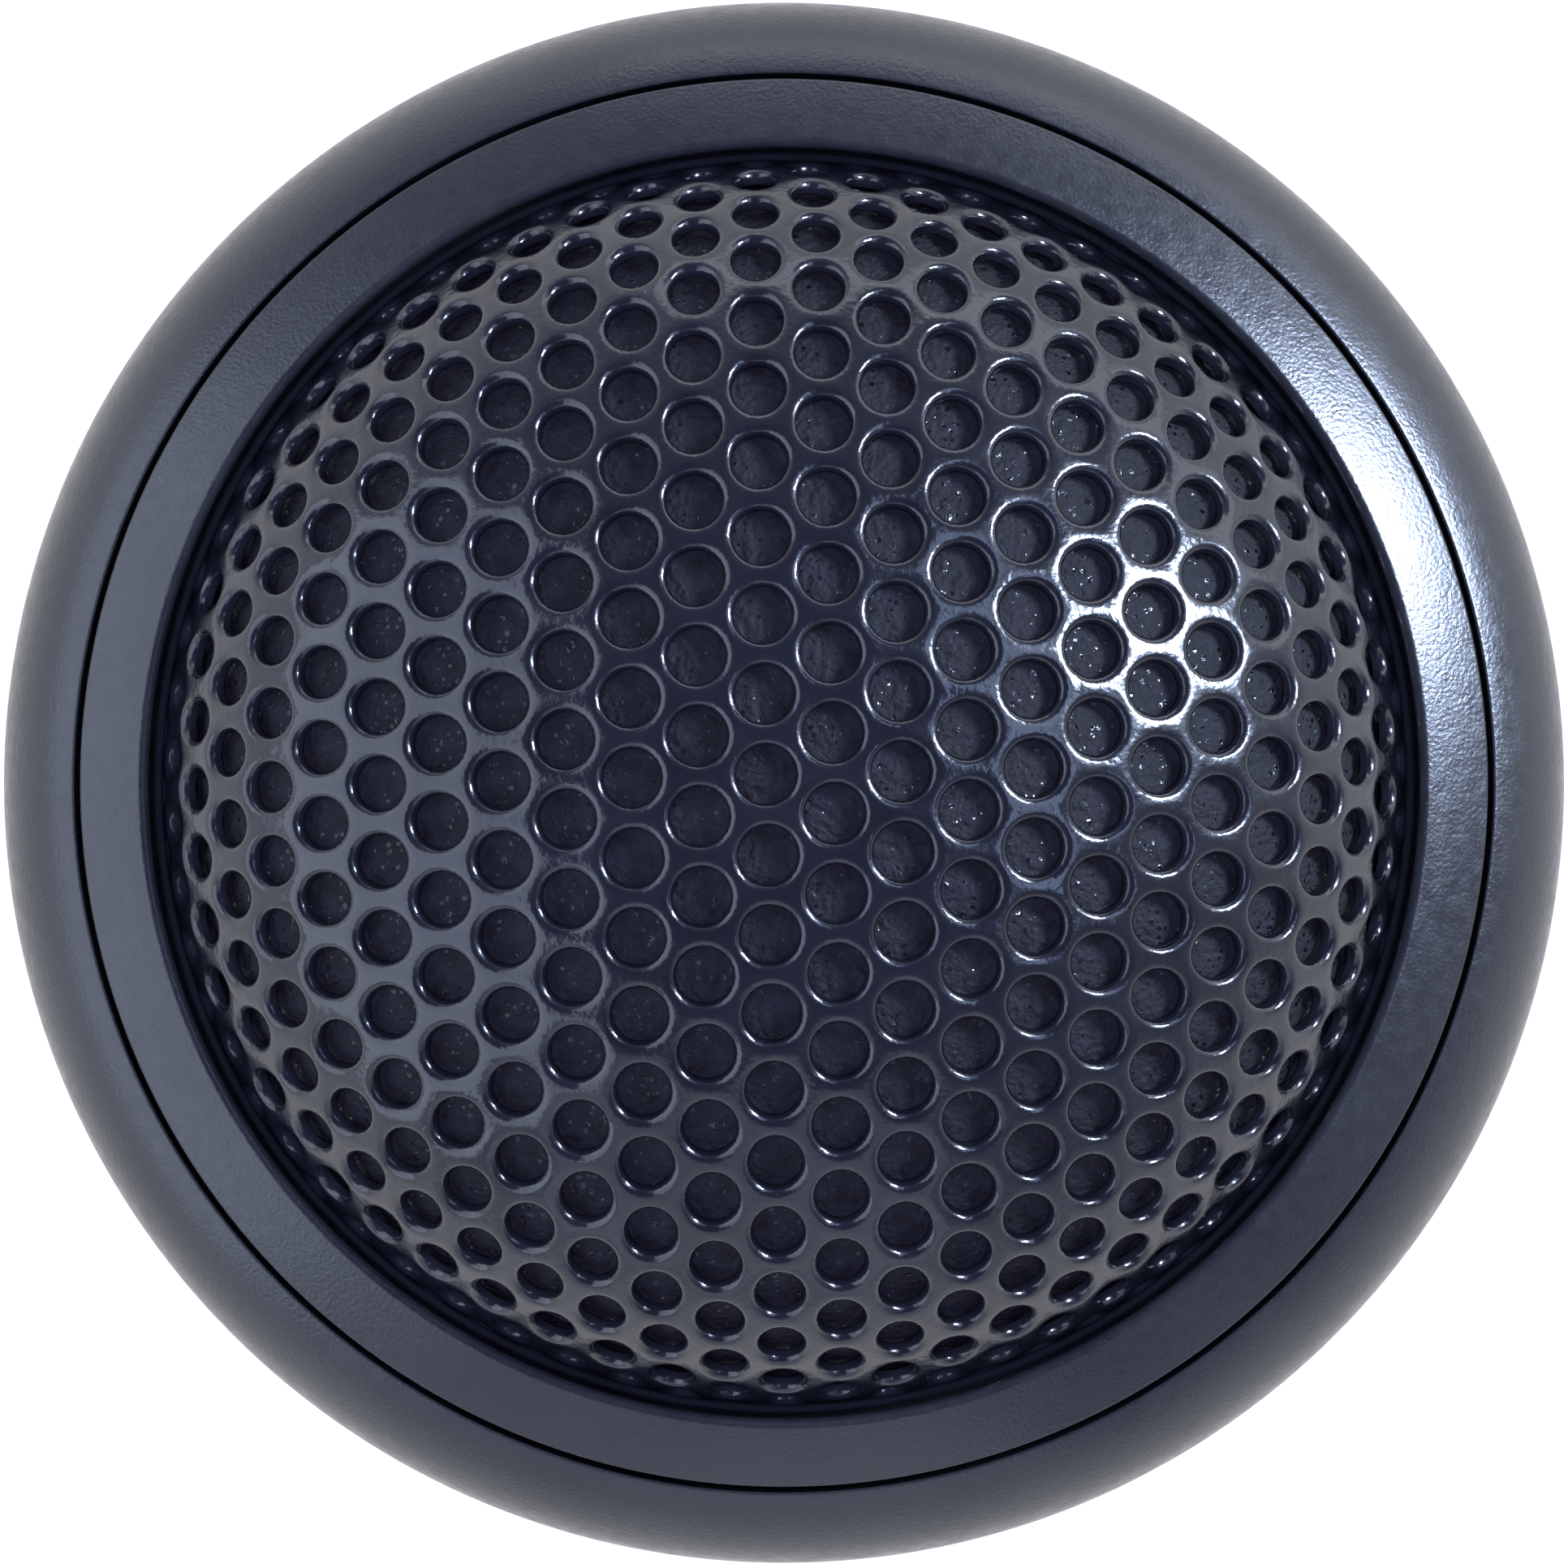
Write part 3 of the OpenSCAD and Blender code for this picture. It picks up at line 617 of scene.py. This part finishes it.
def grille():
    """Sheet perforated flat, with rounded hole edges, then drawn to a dome and flanged."""
    rounding = [(HOLE_R + HOLE_ROUND * (1 - math.sin(t)), HOLE_ROUND * (1 - math.cos(t)))
                for t in (math.pi / 8 * i for i in range(5))]
    inside = [(HOLE_R, SHEET_T - HOLE_BREAK), (HOLE_R + HOLE_BREAK, SHEET_T), (None, SHEET_T)]
    cell = cell_mesh([(None, 0.0)] + rounding + inside)
    plain = plain_cell_mesh()
    edge_s = RIM_S + 0.2     # the sheet runs a little straight down past its rim
    last_hole_s = edge_s - HOLE_MARGIN
    row = CELL * math.sqrt(3) / 2
    reach = int(edge_s / row) + 2
    bm = bmesh.new()
    for i in range(-reach, reach + 1):
        for j in range(-reach - 4, reach + 5):
            x = LATTICE_SHIFT[0] + i * row * COLUMN_STRETCH
            y = LATTICE_SHIFT[1] + (j + 0.5 * (i % 2)) * CELL * ROW_STRETCH
            s = math.hypot(x, y)
            if s > edge_s + CELL:
                continue
            first = len(bm.verts)
            holed = s < last_hole_s
            bm.from_mesh(cell if holed else plain)
            bm.verts.ensure_lookup_table()
            outward = Vector((x, y)) / s
            across = Vector((-outward.y, outward.x))
            squeeze = HOLE_R * HOLE_SQUEEZE * (s / edge_s) ** 2
            for vert in bm.verts[first:]:
                offset = vert.co.xy
                if holed and offset.length < HOLE_R + HOLE_ROUND + 0.001:
                    offset = offset - across * squeeze * offset.normalized().dot(across)
                else:
                    offset = Vector((offset.x * COLUMN_STRETCH, offset.y * ROW_STRETCH))
                vert.co.x = x + offset.x
                vert.co.y = y + offset.y
    bmesh.ops.remove_doubles(bm, verts=bm.verts, dist=SHEET_MERGE)
    outside = [f for f in bm.faces if all(v.co.xy.length > edge_s for v in f.verts)]
    bmesh.ops.delete(bm, geom=outside, context="FACES")
    for vert in bm.verts:
        s = vert.co.xy.length
        if s > edge_s:
            vert.co.x *= edge_s / s
            vert.co.y *= edge_s / s
    bmesh.ops.dissolve_degenerate(bm, dist=0.01, edges=bm.edges)
    for vert in bm.verts:
        s = vert.co.xy.length
        turn = math.atan2(vert.co.y, vert.co.x) + LATTICE_TURN
        vert.co = dome_place(s, turn, -vert.co.z)
    inside_r = DOME_R - SHEET_T
    flange_r = GRILLE_HIGH.x
    flange_low = GRILLE_LOW.z
    rim = [e for e in bm.edges if e.is_boundary]
    outer = [e for e in rim if e.verts[0].co.xy.length > DOME_R - SHEET_T / 2]
    inner = [e for e in rim if e.verts[0].co.xy.length < DOME_R - SHEET_T / 2]
    for r, z in ((DOME_R, FLANGE_TOP + 0.15), (DOME_R + 0.04, FLANGE_TOP + 0.04),
                 (DOME_R + 0.12, FLANGE_TOP), (flange_r - 0.08, FLANGE_TOP),
                 (flange_r, FLANGE_TOP - 0.08), (flange_r, flange_low)):
        outer = pull_out(bm, outer, r, z)
    for r, z in ((inside_r, flange_low + 0.2), (inside_r + 0.06, flange_low + 0.06),
                 (inside_r + 0.2, flange_low), (flange_r, flange_low)):
        inner = pull_out(bm, inner, r, z)
    bmesh.ops.remove_doubles(bm, verts=bm.verts, dist=SHEET_MERGE)
    bmesh.ops.recalc_face_normals(bm, faces=bm.faces)
    finish_mesh(bm, "grille_painted", GRILLE_PAINT, replaces=("grille",), sharp=60)


def foam_liner():
    """Shell of open-cell foam under the grille, its faces broken by cut cells."""
    depth = SHEET_T + FOAM_GAP
    rows = 90
    end_s = RIM_S + RIM_Z - FOAM_LOW.z - 0.15
    cut_size = 0.3
    swell_size = 0.28
    bm = bmesh.new()
    points = []
    for side_depth, stations in ((depth, range(rows + 1)), (depth + FOAM_T, range(rows, -1, -1))):
        points += [bm.verts.new(dome_place(end_s * i / rows, 0.0, side_depth)) for i in stations]
    for a, b in zip(points, points[1:]):
        bm.edges.new((a, b))
    spin(bm, 400)
    for vert in bm.verts:
        if vert.co.z > FOAM_LOW.z + 0.3:
            cut = noise.cell_vector(vert.co / cut_size)[0]
            swell = noise.noise(vert.co / swell_size)
            vert.co -= vert.normal * (0.10 + 0.08 * swell + 0.05 * cut)
    finish_mesh(bm, "foam_cut", FOAM, replaces=("foam_liner",), sharp=180)


# ---------------------------------------------------------------- driver

def voice_coil():
    """Round wire wound side by side, its turns rounded on the outside."""
    wire = 0.15
    turns = int((COIL_HIGH.z - COIL_LOW.z) / wire)
    step = (COIL_HIGH.z - COIL_LOW.z) / turns
    ri = 12.62           # just clear of the former
    ro = COIL_HIGH.x
    corners = [(ri, COIL_HIGH.z, 0.0), (ri, COIL_LOW.z, 0.0)]
    for i in range(turns):
        centre = COIL_LOW.z + step * (i + 0.5)
        corners += arc(ro - step / 2, centre, step / 2, -math.pi / 2.2, math.pi / 2.2, 4)
    finish_mesh(lathe(corners, 160), "coil_wound", COPPER, "diaphragm", ("voice_coil",),
                sharp=70)


def capacitor():
    """Round can in a shrink sleeve, crimped near its lead end, with a rubber bung."""
    radius = (CAN_HIGH.z - CAN_LOW.z) / 2
    length = CAN_HIGH.x - CAN_LOW.x
    axis_y = (CAN_LOW.y + CAN_HIGH.y) / 2
    axis_z = (CAN_LOW.z + CAN_HIGH.z) / 2
    crimp = length - 1.9
    crimp_r = radius - 0.32
    bung_r = radius - 0.7
    bung_z = length - 0.25
    corners = [(0.0, 0.0, 0.0), (radius, 0.0, 0.5), (radius, crimp - 0.5, 0.2),
               (crimp_r, crimp - 0.15, 0.15), (crimp_r, crimp + 0.15, 0.15), (radius, crimp + 0.5, 0.2),
               (radius, length, 0.35), (bung_r, length, 0.1), (bung_r, bung_z, 0.05), (0.0, bung_z, 0.0)]
    bm = bmesh.new()
    outline(bm, corners, segments=4, closed=False)
    spin(bm, 96)
    place = Matrix.Translation((CAN_LOW.x, axis_y, axis_z))
    bmesh.ops.transform(bm, matrix=place @ Matrix.Rotation(math.pi / 2, 4, "Y"), verts=bm.verts)
    piece = finish_mesh(bm, "capacitor_sleeved", SLEEVE, replaces=("capacitor",))
    piece.data.materials.append(BLACK)
    end_x = (CAN_HIGH.x - 0.3) * MM
    centre = Vector((0, axis_y, axis_z)) * MM
    for face in piece.data.polygons:
        middle = face.center
        if middle.x > end_x and (middle - centre).yz.length < (bung_r + 0.05) * MM:
            face.material_index = 1


def polarity_mark(name, x, bars):
    """Raised mark on the terminal board, one bar for minus and two for plus."""
    bm = bmesh.new()
    thickness = 0.14
    proud = 0.05         # distance of the bar's middle from the board's face
    y = BOARD_LOW.y + 1.6
    for width, height in bars:
        made = bmesh.ops.create_cube(bm, size=1.0)["verts"]
        bmesh.ops.scale(bm, vec=(width, height, thickness), verts=made)
        bmesh.ops.translate(bm, vec=(x, y, BOARD_LOW.z - proud), verts=made)
    finish_mesh(bm, name, TINNED)


flush_cup()
lock_nut()
trim_ring()
grille()
foam_liner()
voice_coil()
capacitor()
level_bar, upright_bar = (1.6, 0.35), (0.35, 1.6)
polarity_mark("mark_plus", 3.6, (level_bar, upright_bar))
polarity_mark("mark_minus", -3.6, (level_bar,))

eased_copy("clamp_washer", ZINC, 0.12, body="clamp_washer")
eased_copy("panel_gasket", GASKET_FOAM, 0.0)
eased_copy("chassis", CHASSIS_PLASTIC, 0.08)
eased_copy("snap_ring", SPRING_STEEL, 0.1)
eased_copy("clamp_ring", CHASSIS_PLASTIC, 0.05)
eased_copy("front_screws", SCREW_STEEL, 0.04)
eased_copy("diaphragm_ring", FIBRE, 0.03)
eased_copy("pole_plate", ZINC, 0.12)
eased_copy("magnet", NICKEL, 0.2)
eased_copy("pole_cup", ZINC, 0.12)
eased_copy("damping_felt", FELT, 0.15)
eased_copy("lead_tags", BRASS, 0.03)
eased_copy("rear_cover", CHASSIS_PLASTIC, 0.1)
eased_copy("rear_screws", SCREW_STEEL, 0.05)
eased_copy("terminal_board", PHENOLIC, 0.06)
eased_copy("terminal_positive", BRASS, 0.06)
eased_copy("terminal_negative", BRASS, 0.06)
eased_copy("terminal_rivets", BRASS, 0.08)
eased_copy("lead_wire_positive", RED, 0.0)
eased_copy("lead_wire_negative", BLACK, 0.0)
eased_copy("capacitor_leads", TINNED, 0.0)
eased_copy("surround", SURROUND_CLOTH, 0.0)
eased_copy("dome_diaphragm", SILK, 0.0, body="diaphragm")
eased_copy("voice_coil_former", FILM, 0.0, body="diaphragm")


# ---------------------------------------------------------------- floor, lights and camera

def floor():
    """White light table on which the barrel stands."""
    bm = bmesh.new()
    bmesh.ops.create_grid(bm, x_segments=1, y_segments=1, size=3.0)
    bmesh.ops.translate(bm, vec=(0, 0, CUP_LOW.z * MM), verts=bm.verts)
    mesh = bpy.data.meshes.new("floor")
    bm.to_mesh(mesh)
    bm.free()
    glass, tree, shader, coords = surface("opal_glass_lit", "3c3d3f", 0.9, Emission_Color=srgb("fbfcff"),
                                          Emission_Strength=1.02)
    grain(tree, shader, coords, 0.5, 0.003)
    mesh.materials.append(glass)
    piece = bpy.data.objects.new("floor", mesh)
    bpy.context.scene.collection.objects.link(piece)


def softbox(name, azimuth, elevation, distance, width, height, radiance, colour="ffffff",
            diffuse=True, glossy=True):
    """Area light that faces the object. Its power follows from its radiance and size.

    Without diffuse it shows only in gloss, without glossy only on matt surfaces.
    """
    lamp = bpy.data.lights.new(name, "AREA")
    lamp.shape = "RECTANGLE"
    lamp.size = width
    lamp.size_y = height
    lamp.energy = radiance * math.pi * width * height
    lamp.color = srgb(colour)[:3]
    holder = bpy.data.objects.new(name, lamp)
    bpy.context.scene.collection.objects.link(holder)
    a, e = math.radians(azimuth), math.radians(elevation)
    place = Vector((math.cos(e) * math.cos(a), math.cos(e) * math.sin(a), math.sin(e))) * distance
    holder.location = place
    holder.rotation_euler = place.to_track_quat("Z", "Y").to_euler()
    holder.visible_camera = False
    holder.visible_diffuse = diffuse
    holder.visible_glossy = glossy


def world():
    """Pale room that darkens towards the ceiling."""
    brightness = 2.0     # keeps the ramp's colours under 1
    room = bpy.data.worlds.new("room")
    bpy.context.scene.world = room
    room.use_nodes = True
    tree = room.node_tree
    back = tree.nodes["Background"]
    direction = add(tree, "ShaderNodeTexCoord").outputs["Generated"]
    parts = add(tree, "ShaderNodeSeparateXYZ", {"Vector": direction})
    ramp = add(tree, "ShaderNodeValToRGB", {"Fac": parts.outputs["Z"]})
    heights = ((0.0, 1.3), (0.25, 0.95), (0.45, 0.55), (0.63, 0.3), (0.77, 0.2), (0.9, 0.1), (1.0, 0.05))
    elements = ramp.color_ramp.elements
    while len(elements) < len(heights):
        elements.new(0.5)
    for element, (height, level) in zip(elements, heights):
        element.position = height
        element.color = [level / brightness] * 3 + [1.0]
    tint = add(tree, "ShaderNodeMix", {0: 1.0, 6: ramp.outputs["Color"]}, data_type="RGBA",
               blend_type="MULTIPLY")
    tint.inputs[7].default_value = srgb("dfe8f6")
    tree.links.new(tint.outputs[2], back.inputs["Color"])
    back.inputs["Strength"].default_value = brightness


def camera():
    """Long lens straight over the dome."""
    lens = bpy.data.cameras.new("camera")
    holder = bpy.data.objects.new("camera", lens)
    bpy.context.scene.collection.objects.link(holder)
    holder.location = (0.0, -0.04 * MM, 350 * MM)
    holder.rotation_euler = (0.0, 0.0, 0.0)
    lens.lens = 250.2
    lens.sensor_width = 36.0
    lens.clip_start = 0.01
    lens.clip_end = 20.0
    bpy.context.scene.camera = holder


floor()
softbox("key_tube", 23.5, 33.5, 0.8, 0.16, 0.24, 215.0, "ccdeff", diffuse=False)
softbox("key_diffuser", 20, 34, 0.85, 0.46, 0.42, 2.6, "c4d8ff")
softbox("key_strip", 18, 58, 0.8, 0.8, 0.10, 6.0, "b8d0ff", diffuse=False)
softbox("upper", 62, 3, 0.9, 1.6, 0.36, 2.5, "e4ecf8")
softbox("left", 184, 31, 0.9, 1.45, 0.85, 2.9, "d4e2f8")
softbox("below", 264, 30, 0.9, 0.8, 0.6, 0.85, "e0e8f4")
softbox("overhead", 0, 90, 1.2, 0.25, 0.25, 280.0, glossy=False)
world()
camera()
bpy.context.scene.view_settings.view_transform = "Standard"
